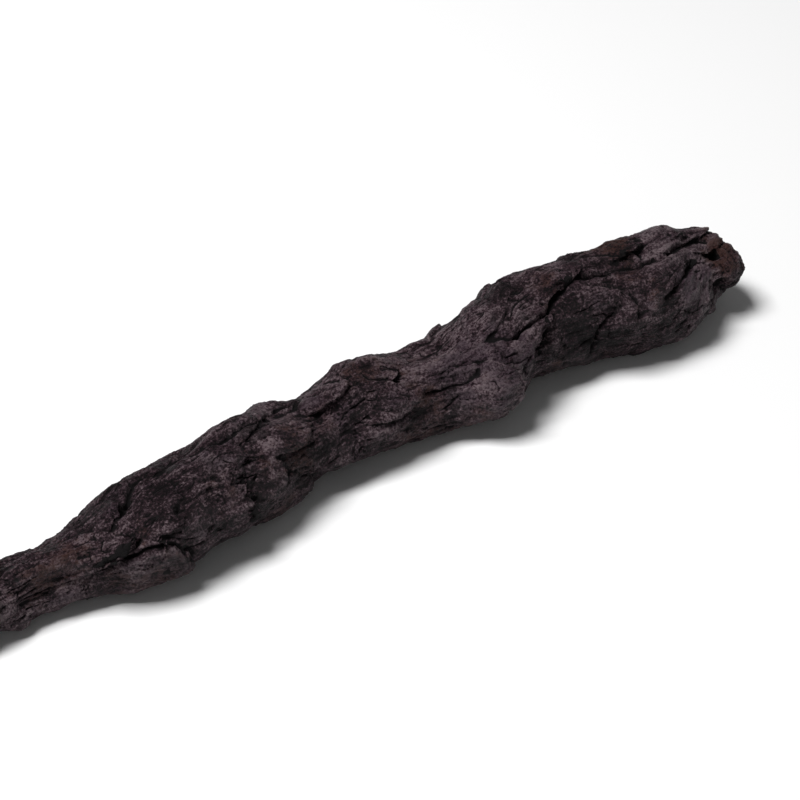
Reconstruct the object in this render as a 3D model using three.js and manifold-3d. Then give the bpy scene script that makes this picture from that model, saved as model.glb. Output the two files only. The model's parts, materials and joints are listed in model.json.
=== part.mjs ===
// A whole dried cistanche stem, lying as it was gathered and dried: one shrunken, slightly flattened
// body of flesh, grown over from the cut base to the blunt tip with overlapping scale leaves.
// Millimetres, +Z up. The stem lies along X, its cut base at the low end and its tip at the high end.
// A place on it is a station, counted along X from the cut base, and an angle round it in degrees,
// counted from the top towards -Y.

import * as THREE from 'three';
import { mergeVertices } from 'three/addons/utils/BufferGeometryUtils.js';
import Module from 'manifold-3d';

const wasm = await Module();
wasm.setup();

// The body: its length, how much lower than wide it is, and its rounded last stretch.
const stemLength = 168;
const flatness = 0.94;
const tipStretch = 9;
const baseChamfer = 0.8;
const bodyStations = 46;
const tipStations = 5;
const bodySides = 24;

// Half the width of the stem over its scales: [station, radius].
const girth = [
  [0, 5.9], [12, 6.0], [20, 6.1], [24, 6.7], [28, 7.9], [33, 9.1], [38, 9.7], [45, 9.6], [53, 10.0],
  [60, 9.8], [66, 8.9], [72, 8.1], [78, 8.7], [84, 9.1], [91, 8.9], [96, 8.2], [102, 9.1],
  [110, 10.4], [116, 10.0], [122, 10.4], [131, 10.7], [138, 11.6], [147, 11.1], [154, 10.0],
  [160, 8.6], [168, 7.6],
];

// Where the axis lies: [station, sideways along Y, height above the ground].
const axis = [
  [0, -1.6, 7.0], [12, -1.5, 6.9], [24, -2.0, 7.4], [32, -3.3, 8.8], [38, -3.5, 9.3],
  [46, -2.3, 9.5], [54, -1.9, 9.6], [60, -1.2, 9.5], [66, -0.2, 8.9], [72, 0.3, 8.5],
  [84, 1.3, 9.0], [92, 0.9, 8.9], [97, 0.1, 8.7], [104, -0.5, 9.3], [110, -0.5, 9.9],
  [115, 1.2, 10.0], [119, 2.0, 10.0], [130, 1.3, 10.0], [138, -0.6, 10.4], [147, -1.9, 10.2],
  [156, -0.6, 9.6], [168, -1.6, 9.4],
];

// How far the middle of the stem's width lies from its axis line, and how much of the underside
// is pressed flat by its weight.
const widthMiddle = 0.48;
const pressedDepth = 0.8;

// Swells of the flesh: [times round, millimetres of length for one wave, height, start in degrees].
const swells = [
  [2, 61, 0.35, 40],
  [3, -38, 0.35, 200],
  [4, 27, 0.28, 110],
  [6, -17, 0.18, 300],
];

// Pits in the flesh between the scales: [station, angle, radius, depth].
const pits = [
  [41, 33, 3.0, 1.6],
  [62, 62, 4.0, 1.3],
  [92, 58, 2.8, 1.8],
  [73, 10, 3.0, 1.2],
  [117, 40, 3.2, 1.2],
  [161, 30, 2.6, 1.8],
  [160, 95, 2.6, 1.8],
];

// The scale leaves: how far a tip stands out of the flesh, how deep a root is sunk in it,
// and the thickness of the blade.
const tipHeight = 1.9;
const rootDepth = 1.6;
const bladeThickness = 0.8;
const marginDrop = 0.35;
const cutMargin = 3;
const bladeRows = 5;
const bladeColumns = 4;

// Joined faces are cleaned of slivers finer than this.
const finestDetail = 0.02;

// The large scale leaves of the upper side.
// Each is [station of its tip, angle of its tip, length, width, turn in degrees, lift, bluntness].
const largeScales = [
  [31, 46, 31, 9.5, 8, 0.3, 0.5],
  [39.5, 108, 24, 9, 10, 0.2, 0.8],
  [71.5, -34, 31, 10, 0, 0.2, 0.4],
  [54.5, 24, 23, 9, 12, 0.4, 0.5],
  [54, 86, 20, 12, 4, 0.4, 1.0],
  [69, 30, 18, 8, 14, 0.6, 0.5],
  [61, 78, 14, 8, 38, 0.5, 0.7],
  [79.5, 6, 14, 8, 34, 0.5, 0.6],
  [90, 4, 15, 10, 14, 0.0, 1.0],
  [89.5, 62, 17, 9, 28, 0.4, 0.6],
  [110.5, 84, 21, 11.5, 6, 0.3, 0.8],
  [132.5, -6, 37, 13, -2, 0.4, 0.3],
  [121, 36, 19, 10, -4, 0.3, 0.4],
  [137, 60, 21, 13, 2, 0.3, 1.0],
  [147, -16, 21, 9, 8, 0.3, 0.5],
  [163.5, -20, 25, 9, -2, 0.5, 0.4],
  [156, 40, 18, 10, -34, 0.5, 0.5],
  [154.5, 98, 19, 11, -8, 0.4, 0.8],
  [164.5, 8, 13, 8, 12, 0.4, 0.7],
  [165, 122, 15, 9, -10, 0.4, 0.8],
  [165.5, -75, 17, 9, 6, 0.4, 0.7],
  [165.5, 188, 16, 9, 0, 0.3, 0.8],
];

// The other scale leaves stand on a spiral, a new one each step, where no large one is in the way.
const spiralStart = 13;
const spiralStep = 4.2;
const spiralEnd = 165;
const spiralTurn = 137.5;
const spiralLength = 22;
const spiralWidth = 10.5;
const clearAlong = 9;
const clearAcross = 6.5;
const seed = 23;

// The bud left at the very tip, low on the side that the last scales leave open.
const budRadius = 3.2;
const budStation = 164;
const budAngle = 66;
const budReach = 4.6;

const fleshColour = new THREE.Color(0.17, 0.13, 0.135);

const degrees = THREE.MathUtils.degToRad;

// A repeatable random number from 0 to 1 (mulberry generator).
let randomState = seed;
function random() {
  randomState = (randomState + 0x6d2b79f5) | 0;
  let bits = Math.imul(randomState ^ (randomState >>> 15), 1 | randomState);
  bits = (bits + Math.imul(bits ^ (bits >>> 7), 61 | bits)) ^ bits;
  return ((bits ^ (bits >>> 14)) >>> 0) / 4294967296;
}

function around(middle, spread) {
  return middle + (random() * 2 - 1) * spread;
}

// A smooth curve through the rows of a list, read in one column at a station.
function along(list, station, column) {
  const last = list.length - 1;
  let row = 0;
  while (row < last - 1 && list[row + 1][0] < station) row += 1;
  const slope = (index) => {
    const before = list[Math.max(index - 1, 0)];
    const after = list[Math.min(index + 1, last)];
    return (after[column] - before[column]) / (after[0] - before[0]);
  };
  const [low, high] = [list[row], list[row + 1]];
  const span = high[0] - low[0];
  const t = THREE.MathUtils.clamp((station - low[0]) / span, 0, 1);
  const near = (1 + 2 * t) * (1 - t) * (1 - t) * low[column] + t * t * (3 - 2 * t) * high[column];
  return near + span * t * (1 - t) * ((1 - t) * slope(row) - t * slope(row + 1));
}

// The point at a distance from the axis, in the section at a station.
function place(station, angle, radius) {
  const turn = degrees(angle);
  return new THREE.Vector3(
    station - stemLength / 2,
    along(axis, station, 1) + widthMiddle - radius * Math.sin(turn),
    along(axis, station, 2) - pressedDepth + flatness * radius * Math.cos(turn),
  );
}

// How far apart two angles are, in degrees, across the turn at 360.
function angleBetween(one, other) {
  return THREE.MathUtils.euclideanModulo(one - other + 180, 360) - 180;
}

// The radius of the bare flesh, under the scale leaves.
function fleshRadius(station, angle) {
  let radius = along(girth, station, 1) - tipHeight * 0.8;
  for (const [times, wave, height, start] of swells) {
    radius += height * Math.sin(degrees(times * angle + (360 * station) / wave + start));
  }
  for (const [pitStation, pitAngle, pitRadius, depth] of pits) {
    const across = degrees(angleBetween(angle, pitAngle)) * radius;
    const distance = Math.hypot(station - pitStation, across) / pitRadius;
    radius -= depth * Math.exp(-distance * distance);
  }
  return radius;
}

// A solid from rings of points, closed by a point at each end.
function ringsToGeometry(rings, firstPoint, lastPoint) {
  const points = [firstPoint, ...rings.flat(), lastPoint];
  const sides = rings[0].length;
  const faces = [];
  const at = (ring, side) => 1 + ring * sides + (side % sides);
  for (let side = 0; side < sides; side += 1) {
    faces.push(0, at(0, side + 1), at(0, side));
    faces.push(points.length - 1, at(rings.length - 1, side), at(rings.length - 1, side + 1));
    for (let ring = 0; ring < rings.length - 1; ring += 1) {
      faces.push(at(ring, side), at(ring + 1, side + 1), at(ring + 1, side));
      faces.push(at(ring, side), at(ring, side + 1), at(ring + 1, side + 1));
    }
  }
  return { points, faces };
}

function toSolid({ points, faces }) {
  const geometry = new THREE.BufferGeometry().setFromPoints(points);
  geometry.setIndex(faces);
  const merged = mergeVertices(geometry);
  const mesh = new wasm.Mesh({
    numProp: 3,
    vertProperties: new Float32Array(merged.attributes.position.array),
    triVerts: new Uint32Array(merged.index.array),
  });
  return new wasm.Manifold(mesh);
}

// The flesh: sections from the cut base to the blunt tip, which is drawn in like half an egg.
function makeFlesh() {
  const stations = [0, baseChamfer];
  const straight = stemLength - tipStretch;
  for (let index = 1; index <= bodyStations; index += 1) {
    stations.push(baseChamfer + ((straight - baseChamfer) * index) / bodyStations);
  }
  for (let index = 1; index <= tipStations; index += 1) {
    const turn = (Math.PI / 2) * (index / (tipStations + 0.5));
    stations.push(straight + (tipStretch - 1) * Math.sin(turn));
  }
  const rings = stations.map((station) => {
    const past = Math.max(station - straight, 0) / tipStretch;
    const drawnIn = Math.sqrt(1 - past * past);
    const edge = station === 0 ? baseChamfer : 0;
    return Array.from({ length: bodySides }, (_, side) => {
      const angle = (360 * side) / bodySides;
      return place(station, angle, fleshRadius(station, angle) * drawnIn - edge);
    });
  });
  return toSolid(ringsToGeometry(rings, place(0, 0, 0), place(stemLength, 0, 0)));
}

// Half the width of a scale leaf, as a share of its widest, from root 0 to tip 1.
function leafOutline(share, bluntness) {
  const shoulder = 0.72 + 0.28 * Math.sin((Math.PI / 2) * Math.min(share / 0.45, 1));
  const taper = Math.pow(1 - Math.pow(share, 2 + 2.5 * bluntness), 0.55);
  return Math.max(shoulder * taper, 0.1);
}

// A scale leaf: a thin blade that leaves the flesh at its sunk root and stands free at its tip.
function makeLeaf({ station, angle, length, width, turn, lift, bluntness }) {
  const swing = degrees(turn);
  const reach = Math.min(length, (station - cutMargin) / Math.cos(swing));
  const outer = [];
  const inner = [];
  const tilt = around(0, 0.25);
  for (let row = 0; row <= bladeRows; row += 1) {
    const share = row / bladeRows;
    const rise = tipHeight * Math.pow(share, 0.7) + lift * share * share;
    const sink = rootDepth * Math.pow(1 - share, 3);
    for (let column = 0; column <= bladeColumns; column += 1) {
      const side = (2 * column) / bladeColumns - 1;
      const ragged = row === 0 ? 1 : around(1, 0.08);
      const across = side * (width / 2) * leafOutline(share, bluntness) * ragged;
      const back = reach * (share - 1) + (side * side - 1) * 0.3 * share;
      const pointStation = station + back * Math.cos(swing) - across * Math.sin(swing);
      const girthHere = along(girth, Math.min(pointStation, stemLength), 1);
      const shift = back * Math.sin(swing) + across * Math.cos(swing);
      const pointAngle = angle + THREE.MathUtils.radToDeg(shift / girthHere);
      const height = rise - sink - marginDrop * side * side + tilt * side * share;
      const radius = girthHere - tipHeight * 0.8 + height;
      outer.push(place(pointStation, pointAngle, radius));
      inner.push(place(pointStation, pointAngle, radius - bladeThickness));
    }
  }
  return toSolid(bladeFaces(outer, inner));
}

// The closed skin of a blade: its outer face, its inner face, and the strip round its margin.
function bladeFaces(outer, inner) {
  const points = [...outer, ...inner];
  const faces = [];
  const columns = bladeColumns + 1;
  const at = (row, column) => row * columns + column;
  const quad = (a, b, c, d) => faces.push(a, c, b, a, d, c);
  const under = outer.length;
  for (let row = 0; row < bladeRows; row += 1) {
    for (let column = 0; column < bladeColumns; column += 1) {
      const [a, b] = [at(row, column), at(row + 1, column)];
      const [c, d] = [at(row + 1, column + 1), at(row, column + 1)];
      quad(a, b, c, d);
      quad(under + a, under + d, under + c, under + b);
    }
  }
  const rim = [];
  for (let row = 0; row < bladeRows; row += 1) rim.push(at(row, 0));
  for (let column = 0; column < bladeColumns; column += 1) rim.push(at(bladeRows, column));
  for (let row = bladeRows; row > 0; row -= 1) rim.push(at(row, bladeColumns));
  for (let column = bladeColumns; column > 0; column -= 1) rim.push(at(0, column));
  rim.forEach((here, index) => {
    const next = rim[(index + 1) % rim.length];
    quad(here, under + here, under + next, next);
  });
  return { points, faces };
}

// Every scale leaf of the stem, the spiral ones kept clear of the large ones.
function planLeaves() {
  const leaves = largeScales.map(([station, angle, length, width, turn, lift, bluntness]) => (
    { station, angle, length, width, turn, lift, bluntness }
  ));
  const large = leaves.slice();
  let angle = 0;
  for (let station = spiralStart; station < spiralEnd; station += spiralStep) {
    angle += spiralTurn;
    const leaf = {
      station: around(station, 1.2),
      angle: around(angle, 9),
      length: around(spiralLength, 4),
      width: around(spiralWidth, 1.6),
      turn: around(0, 12),
      lift: around(0.25, 0.2),
      bluntness: around(0.7, 0.3),
    };
    const radius = along(girth, leaf.station, 1);
    const crowded = large.some((other) => {
      const across = degrees(angleBetween(leaf.angle, other.angle)) * radius;
      return Math.hypot((leaf.station - other.station) / clearAlong, across / clearAcross) < 1;
    });
    leaf.width *= Math.min(radius / 9, 1);
    if (!crowded) leaves.push(leaf);
  }
  return leaves;
}

// The dried bud at the tip, as a small ball.
function makeBud() {
  const ball = new THREE.SphereGeometry(budRadius, 14, 9);
  ball.deleteAttribute('normal');
  ball.deleteAttribute('uv');
  const centre = place(budStation, budAngle, budReach);
  ball.translate(centre.x, centre.y, centre.z);
  const points = [];
  const positions = ball.attributes.position;
  for (let index = 0; index < positions.count; index += 1) {
    points.push(new THREE.Vector3().fromBufferAttribute(positions, index));
  }
  return toSolid({ points, faces: Array.from(ball.index.array) });
}

// Everything below the ground is pressed away, as a block with its top face at Z = 0.
function makeGround() {
  const block = new THREE.BoxGeometry(stemLength * 2, 80, 20).translate(0, 0, -10);
  block.deleteAttribute('normal');
  block.deleteAttribute('uv');
  const merged = mergeVertices(block);
  const points = [];
  for (let index = 0; index < merged.attributes.position.count; index += 1) {
    points.push(new THREE.Vector3().fromBufferAttribute(merged.attributes.position, index));
  }
  return toSolid({ points, faces: Array.from(merged.index.array) });
}

// One body: the largest piece, without loose scraps and with any sealed hollow filled.
function keepBody(solid) {
  const pieces = solid.decompose();
  return pieces.reduce((largest, piece) => (piece.volume() > largest.volume() ? piece : largest));
}

function makeStem() {
  let solid = makeFlesh();
  for (const leaf of planLeaves()) solid = solid.add(makeLeaf(leaf));
  solid = solid.add(makeBud()).subtract(makeGround());
  const mesh = keepBody(solid.simplify(finestDetail)).getMesh();
  const geometry = new THREE.BufferGeometry();
  geometry.setAttribute('position', new THREE.BufferAttribute(mesh.vertProperties, 3));
  geometry.setIndex(new THREE.BufferAttribute(mesh.triVerts, 1));
  geometry.computeVertexNormals();
  const material = new THREE.MeshStandardMaterial({
    color: fleshColour, roughness: 0.7, metalness: 0,
  });
  const stem = new THREE.Mesh(geometry, material);
  stem.name = 'scaly_stem';
  return stem;
}

const cistancheStem = new THREE.Group();
cistancheStem.add(makeStem());
export default cistancheStem;
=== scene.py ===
"""A whole dried cistanche stem, lying on a pale floor in soft studio light.

The stem is one shrivelled body of flesh, grown over with overlapping scale leaves from its cut base
to the bud at its blunt tip. A place on it is a station, in millimetres along X from the cut base, and
an angle round it, from the top towards -Y.
"""

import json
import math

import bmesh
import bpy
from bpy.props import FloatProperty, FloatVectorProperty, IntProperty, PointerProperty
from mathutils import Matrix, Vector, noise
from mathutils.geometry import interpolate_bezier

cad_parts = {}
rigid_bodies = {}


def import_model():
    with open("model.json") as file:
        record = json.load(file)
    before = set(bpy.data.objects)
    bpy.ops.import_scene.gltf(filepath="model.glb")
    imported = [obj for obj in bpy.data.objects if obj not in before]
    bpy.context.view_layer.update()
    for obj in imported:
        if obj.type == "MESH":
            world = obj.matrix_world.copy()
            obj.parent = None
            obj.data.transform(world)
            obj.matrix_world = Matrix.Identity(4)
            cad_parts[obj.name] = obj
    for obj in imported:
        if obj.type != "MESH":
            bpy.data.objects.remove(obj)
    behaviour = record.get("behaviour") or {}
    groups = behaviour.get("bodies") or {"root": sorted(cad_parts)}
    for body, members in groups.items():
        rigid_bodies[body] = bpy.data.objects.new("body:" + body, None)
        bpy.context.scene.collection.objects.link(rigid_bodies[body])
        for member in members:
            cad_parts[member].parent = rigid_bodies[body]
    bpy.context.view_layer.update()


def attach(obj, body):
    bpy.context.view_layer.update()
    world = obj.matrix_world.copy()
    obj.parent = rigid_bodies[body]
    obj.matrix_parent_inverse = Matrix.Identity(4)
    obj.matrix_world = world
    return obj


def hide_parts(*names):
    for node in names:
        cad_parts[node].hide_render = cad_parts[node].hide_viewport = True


bl_info = {
    "name": "Dried Cistanche Stem",
    "version": (1, 0, 0),
    "blender": (4, 5, 0),
    "location": "3D View > Sidebar > Cistanche",
    "description": "Builds a dried cistanche stem: its flesh, its scale leaves and the bud at its tip",
    "category": "Add Mesh",
}

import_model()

STEM_NODE = "scaly_stem"
BODY = "root"
MM = 0.001

# The body: its length, the flattening of its sections, its rounded last stretch, and the radius at
# which its skin is unrolled for noise, spots and lines.
LENGTH = 168.0
FLATNESS = 0.94
TIP_STRETCH = 9.0
MIDDLE_RADIUS = 9.5

# How far the whole stem is moved towards +Y, and how deep it is pressed into the ground.
WIDTH_MIDDLE = 0.48
PRESSED_DEPTH = 0.8

# Past these distances from the ground and the middle, the stem is pressed to a share of its reach.
EASED_HEIGHT = 19.3
EASED_SIDE = 11.9
EASED_SHARE = 0.5

# The columns of the next two lists.
RADIUS = 1
SIDEWAYS = 1
HEIGHT = 2

# Half the width of the stem over its scales: (station, radius).
GIRTH = [
    (0, 5.9), (12, 6.0), (20, 6.1), (24, 6.7), (28, 7.9), (33, 9.1), (38, 9.7), (45, 9.6), (53, 10.0),
    (60, 9.8), (66, 8.9), (72, 8.1), (78, 8.7), (84, 9.1), (91, 8.9), (96, 8.2), (102, 9.1),
    (110, 10.4), (116, 10.0), (122, 10.4), (131, 10.7), (138, 11.6), (147, 11.1), (154, 10.0),
    (160, 8.6), (168, 7.6),
]

# Where the axis lies: (station, sideways along Y, height above the ground).
AXIS = [
    (0, -1.6, 7.0), (12, -1.5, 6.9), (24, -2.0, 7.4), (32, -3.3, 8.8), (38, -3.5, 9.3),
    (46, -2.3, 9.5), (54, -1.9, 9.6), (60, -1.2, 9.5), (66, -0.2, 8.9), (72, 0.3, 8.5),
    (84, 1.3, 9.0), (92, 0.9, 8.9), (97, 0.1, 8.7), (104, -0.5, 9.3), (110, -0.5, 9.9),
    (115, 1.2, 10.0), (119, 2.0, 10.0), (130, 1.3, 10.0), (138, -0.6, 10.4), (147, -1.9, 10.2),
    (156, -0.6, 9.6), (168, -1.6, 9.4),
]

# Swells of the flesh: (times round, millimetres of length for one wave, height, start in degrees).
SWELLS = [(2, 61, 0.35, 40), (3, -38, 0.35, 200), (4, 27, 0.28, 110), (6, -17, 0.18, 300)]

# Lumps of shrunken flesh: (stretch of their noise along the stem, its shift, size, height).
LUMPS = [(0.75, 0.0, 9.0, 1.0), (0.7, 40.0, 4.2, 0.7)]

# How far the scales' outlines are pushed about, along and across the stem, and over what size.
WARP_SIZE = 5.0
WARP_ALONG = 1.3
WARP_ACROSS = 1.2

# The crown of scales closes over a little more than the tip's stretch, and not quite to a point.
CLOSING_STRETCH = TIP_STRETCH * 1.25
CLOSING_MOST = 0.97

# The flesh's rings: the share of them in the cut face and in the rounded tip.
CAP_SHARE = 0.03
TIP_SHARE = 0.07

# The cut face: how uneven it is, the size of its lumps, the radius over which they are read, where its
# unevenness starts to end, as a share of that, and how near points are to be merged at its middle.
CUT_ROUGHNESS = 0.45
CUT_LUMP = 1.6
CUT_RADIUS = 5
CUT_EDGE = 0.93
MERGE_DISTANCE = 0.003

# The skin that gets the cut face's look: how far it reaches in, and how squarely it faces the base.
CUT_DEPTH = 1.3
CUT_FACING = -0.6

# Noise seldom reaches its full height, so each height that the user sets is raised by a gain. Short
# cracks have a share of the creases' depth. Strands and grit have heights of their own.
FLESH_FOLD_GAIN = 2.2
FOLD_GAIN = 2.4
DENT_GAIN = 1.6
CRUMPLE_GAIN = 1.8
CRACK_SHARE = 0.6
STRAND_HEIGHT = 0.24
GRIT_HEIGHT = 0.12

# Pits in the flesh between the scales: (station, angle, radius, depth).
PITS = [
    (41, 33, 2.4, 0.6), (62, 62, 4.0, 1.3), (92, 58, 2.8, 1.8), (73, 10, 3.0, 1.2),
    (117, 40, 3.2, 1.2), (161, 30, 2.6, 1.8), (160, 95, 2.6, 1.8),
]

# Lumps and hollows of the flesh that its scales follow: (station, angle, radius, height).
HILLS = [
    (26, -22, 5, -1.3), (54, -27, 6, 1.6), (115, -45, 6, 1.6), (126, -38, 5.5, 1.2), (105, 92, 5, 0.9),
    (154, -32, 2.6, 0.9), (161, 5, 6, -1.4), (62, -22, 4, 0.5), (83, -26, 5, 0.6), (29, 124, 6, 0.9),
    (102, 116, 6, 0.8), (59.5, 29, 2, 0.6), (113.5, 92, 4, -0.9), (44, 108, 4, -0.9), (140, 64, 2.2, 0.7),
    (131, 47, 2.6, 0.5), (143.5, 66, 1.8, -0.5), (126, 64, 3.4, -0.5),
]

# Holes and broad hollows in the finished skin: (station, angle, radius, depth).
HOLES = [
    (39.6, 39, 1.2, 1.6), (55.5, 58, 2.4, 1.0), (57, 33, 1.5, 0.6), (60, 61, 2.6, 0.8), (131, 68, 2.4, 0.6),
    (93.5, 57, 1.5, 1.2), (113.5, 36, 1.2, 0.7), (119, 62, 1.8, 0.7), (134.8, 25, 1.8, 1.7),
    (129, 88, 2.0, 0.6), (76, 58, 1.8, 0.7), (161.4, 37, 1.2, 2.4), (158.8, 87, 1.3, 2.2),
    (131.5, 13, 1.3, 0.5), (135, 11, 1.3, 0.6), (138.5, 10, 1.4, 0.6), (142, 11, 1.4, 0.6),
    (145.5, 9, 1.5, 0.8), (149, 9, 1.5, 0.8), (152.5, 6, 1.4, 0.8), (156, 3, 1.3, 0.7),
]

# Furrows along the margins of the scales, each a line of (station, angle, share of the full depth).
FURROWS = [
    [(30, 8, 0.5), (32, 2, 1), (33.5, -8, 1), (35, -18, 1), (37, -26, 0.9), (41.5, -20, 0.3)],
    [(42.5, -30, 0.1), (44.5, -27, 0.4), (47.5, -30, 0.1)],
    [(49, -9, 0.3), (51, -1, 0.8), (54.5, -1, 0.8), (57.5, -5, 0.8), (60.5, -3, 0.8), (64, -12, 0.8),
     (67.5, -19, 0.6), (70.5, -28, 0.3)],
    [(24, 60, 0.4), (26.5, 59, 1), (28, 55, 1), (31.5, 50, 0.8)],
    [(25, 74, 0.3), (27, 63, 0.8), (30, 62, 0.9), (33, 63, 0.9), (36, 71, 0.8), (38.8, 86, 0.6),
     (39.6, 95, 0.3)],
    [(53.5, 73, 0.3), (52.5, 78, 0.5), (51.5, 89, 0.3)],
    [(77, -19, 0.1), (78.5, -6, 0.4)],
    [(83.5, -2, 0.1), (84, 10, 0.4), (86.5, 17, 0.4), (88.5, 16, 0.1)],
    [(94, 56, 0.6), (98.5, 55, 0.4), (101.5, 52, 0.5), (103, 44, 0.1)],
    [(111.3, 66, 0.2), (111.3, 80, 0.9), (110.5, 90, 1), (109.2, 99, 1), (106.8, 108, 1), (103, 113, 0.6)],
    [(107.5, 22, 0.2), (109.5, 26, 0.5), (111.5, 33, 0.9), (115, 38, 1), (118, 38, 1), (120.5, 36, 1),
     (122.5, 29, 1), (126, 17, 1), (129, 12, 1), (132, 12, 1), (136.5, 11, 1), (139, 10, 0.8),
     (143, 11, 0.8), (146, 9, 1), (149, 10, 1), (152.5, 7, 0.9), (158, 5, 0.5), (160.5, 9, 0.2)],
    [(120, 41, 0.7), (119.5, 55, 0.4), (117, 76, 0.2)],
    [(137, -15, 0.1), (139, -9, 0.4), (142.5, -1, 0.3)],
    [(145.5, -19, 0.1), (144, 0, 0.4), (143.5, 6, 0.2)],
    [(131, 15, 1), (134, 13, 1), (138, 12, 1), (142, 12.5, 1), (146, 10.5, 1), (150, 11, 1), (154, 7, 1),
     (158, 3, 0.6)],
    [(143.6, 60, 0.5), (146.3, 52, 0.6), (149.3, 45, 0.6), (153, 39, 0.6), (156, 36, 0.5)],
    [(134, 51, 0.3), (133, 60, 0.5), (131.5, 68, 0.6), (129.8, 76, 0.6), (129.3, 92, 0.5),
     (128.5, 106, 0.3)],
]

# A furrow's gentle shoulder: its half width, and its share of the depth.
FURROW_SHOULDER = 1.5
SHOULDER_DEPTH = 0.3

# Thin raised rims, drawn the same way.
RIMS = [
    [(25.5, 83, 0.2), (28, 72, 0.6), (31, 70, 0.8), (33.5, 72, 0.9), (36, 80, 1), (37.3, 91, 1),
     (37.6, 102, 1), (36.4, 109, 1), (34, 114, 0.8), (31, 118, 0.6), (28, 123, 0.3)],
    [(110, 66, 0.3), (109.7, 76, 0.8), (109, 84, 1), (107.8, 94, 1), (106, 101, 1), (103.5, 105, 0.9),
     (101, 105, 0.4)],
    [(145, 62, 0.6), (147.5, 55, 0.8), (150, 49, 0.9), (153.5, 44, 0.9), (156, 41, 0.5)],
    [(156.2, 48, 0.4), (157.4, 60, 0.6), (157.6, 76, 0.6), (156.6, 90, 0.4)],
    [(147, 126, 0.4), (147.7, 120, 0.8), (148.9, 109, 0.9), (149.6, 98, 0.9), (150.8, 91, 0.7),
     (151.5, 84, 0.3)],
    [(143.5, 5, 0.3), (147, 1, 0.8), (150, 2, 0.9), (153, 0, 0.6), (155, -3, 0.3)],
    [(131.8, 18, 0.4), (133.2, 25, 0.9), (134.6, 31, 0.9), (136.2, 33, 0.5)],
    [(53, 70, 0.3), (52.4, 80, 0.7), (50.9, 88, 0.8), (50.2, 98, 0.5)],
]
RIM_HEIGHT = 0.3

# Furrows and rims: half their width, how far their lines stray, and the points on each bend.
LINE_HALF_WIDTH = 0.38
LINE_STRAY_ALONG = 0.9
LINE_STRAY_ACROSS = 0.7
LINE_BEND_POINTS = 7

# Browner places on the skin: (station, angle, radius, strength).
WARM_SPOTS = [
    (33, 40, 3.2, 1.0), (83.5, -4, 5, 1.2), (99, -20, 5, 0.6), (141, -14, 3.5, 0.8), (163, 28, 2.4, 1.3),
    (161.5, 62, 3, 0.9), (66, 62, 4, 0.5), (14, 60, 6, 0.4), (132, 110, 5, 0.5), (47, 46, 4, 0.3),
    (92, 58, 2.4, 0.7), (66, 18, 5, 0.3), (140, 40, 6, 0.3), (24, 40, 5, 0.3), (121, 14, 5, 0.3),
    (60, 96, 6, 0.4), (88, 86, 6, 0.4),
]

# Paler places, and darker ones with a strength below 0: (station, angle, radius, strength). They are partly
# the skin's own tone and partly painted light on the upper side and painted shade on the lower flank.
TONE_LIGHT_AND_SHADE_SPOTS = [
    (105, 22, 7, 1.2), (103, 84, 6, 0.9), (97, 0, 6, 1.3), (92, 34, 6, 1.0), (86, 52, 5, 0.6),
    (152, 68, 3.6, 1.3), (152, -20, 6, 1.2), (57, -18, 6, 0.5), (59.5, 28, 2.2, 0.9), (31, 92, 5, 0.9),
    (49, 62, 4, 0.5), (118, 80, 5, -0.8), (131, 84, 5, -1.3), (114, -8, 6, -0.5), (76, 58, 5, -0.8),
    (140, 104, 7, -0.7), (45, 8, 5, -0.3), (90, 78, 4, -0.5), (36, 12, 5, -0.5), (12, 66, 9, 1.7),
    (22, 104, 6, 0.4), (116, 52, 4, 0.8), (160, 22, 7, 1.5), (140, 32, 5, 0.3), (60, 100, 8, -0.5),
    (110, 118, 5, -0.6), (72, -22, 7, 0.8), (34, -20, 9, -1.3), (6, -6, 10, -2.2), (125, 50, 6, -0.3),
    (155, 58, 8, 1.3), (111, 58, 7, 1.5), (100, 40, 5, 0.9), (12, 110, 8, 0.8), (48, 104, 8, -0.8),
    (4, 60, 7, 0.9), (128, 102, 6, -1.0), (28, 40, 6, 0.5), (131, 46, 2.4, 1.1), (139.5, 64, 2.0, 1.3),
    (143, 64, 1.6, -1.2), (136, 38, 2.6, -0.8), (126, 62, 3.4, -1.0), (146, 84, 4, -0.6), (44, 66, 3, -0.8),
    (38, 34, 3, -0.5), (50, 20, 4, 0.6), (66, 64, 3, -0.6), (81, 24, 4, -0.6), (73, 30, 4, 0.5),
]

# More violet places: (station, angle, radius, strength).
VIOLET_SPOTS = [
    (149.5, 52, 3.4, 1.2), (155, 64, 3, 0.8), (138.5, 62, 2.2, 0.9), (131.5, 50, 3.2, 0.5),
    (106, 26, 7, 0.6), (101, 70, 6, 0.5), (74, -10, 6, 0.5), (45, -4, 6, 0.4), (86, 50, 4, 0.6),
    (97, 22, 5, 0.7), (113, 64, 5, 0.6), (18, 92, 6, 0.5), (55, 30, 4, 0.5),
]

# Smooth places, where the scales lie open: (station, angle, radius, share of the roughness lost).
SLEEK_SPOTS = [
    (31, 94, 6.5, 0.9), (103, 86, 6, 0.7), (25, 30, 8, 0.5), (150, -20, 6, 0.7), (151, 66, 4, 0.7),
    (59.5, 28, 2.5, 0.9), (57, 56, 3, 0.7), (112, -10, 6, 0.5), (36, 98, 4, 0.6),
]

# How much of the roughness such places may lose, and how much painted shade darkens the underside, from one
# angle to the other.
SLEEK_MOST = 0.9
UNDERSIDE_SHADE = 0.6
UNDERSIDE_SHADE_FROM = math.radians(80)
UNDERSIDE_SHADE_TO = math.radians(130)

# How hollow each place is, measured against the skin smoothed in so many rounds. The skin's material darkens
# hollows by it as painted shade.
HOLLOWS = (("hollow_near", 4), ("hollow_wide", 40), ("hollow_broad", 160))

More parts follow.
